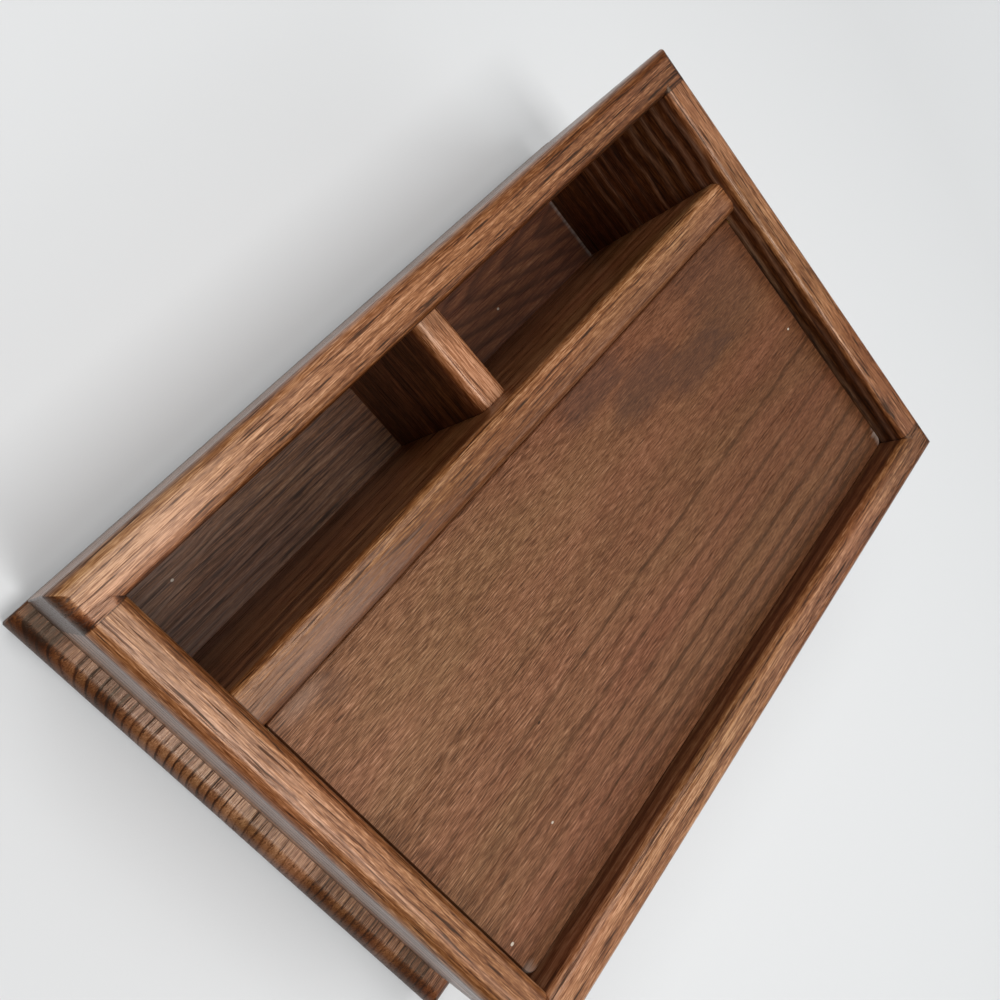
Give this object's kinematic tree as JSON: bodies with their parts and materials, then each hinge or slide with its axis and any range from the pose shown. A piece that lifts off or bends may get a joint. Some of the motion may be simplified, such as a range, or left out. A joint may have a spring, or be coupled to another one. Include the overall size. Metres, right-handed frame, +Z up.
{
  "type": "desk organizer",
  "caption": "Open-topped wooden desk box on an overhanging base, with deep pen bays along the back and a hinged lift lid recessed over the front compartment.",
  "frame": {"origin": "bottom centre of the whole piece, on the surface it stands on", "axes": "+X along the box to its right end, +Y to the pen bays at the back, +Z up"},
  "size_m": [0.4242, 0.2972, 0.1438],
  "materials": {
    "oak_base": "brown-stained oak, satin varnish",
    "oak_walls": "brown-stained oak, satin varnish, paler where the edges are rounded",
    "oak_inner": "brown-stained oak, satin varnish",
    "oak_lid": "brown-stained open-pored oak, satin varnish",
    "oak_ledgers": "brown-stained oak",
    "beech_dowels": "plain beech rod",
    "brass_pins": "drawn rod",
    "steel_screws": "zinc-plated",
    "felt_pads": "pressed felt"
  },
  "bodies": {
    "box": {"base_board": "oak_base", "front_wall": "oak_walls", "back_wall": "oak_walls", "left_end_wall": "oak_walls", "right_end_wall": "oak_walls", "partition": "oak_inner", "pen_divider": "oak_inner", "lid_ledger_left": "oak_ledgers", "lid_ledger_right": "oak_ledgers", "lid_ledger_front": "oak_ledgers", "corner_dowels": "beech_dowels", "partition_dowels": "beech_dowels", "divider_dowels": "beech_dowels", "lid_pivot_pin_left": "brass_pins", "lid_pivot_pin_right": "brass_pins", "base_screws": "steel_screws", "foot_pad_front_left": "felt_pads", "foot_pad_front_right": "felt_pads", "foot_pad_back_left": "felt_pads", "foot_pad_back_right": "felt_pads"},
    "lid": {"lid_panel": "oak_lid"}
  },
  "joints": [
    {"name": "lid_hinge", "type": "hinge", "parent": "box", "child": "lid", "pos_m": [0, 0.0548, 0.1266], "axis": [-1, 0, 0], "range_deg": [0, 95]}
  ]
}
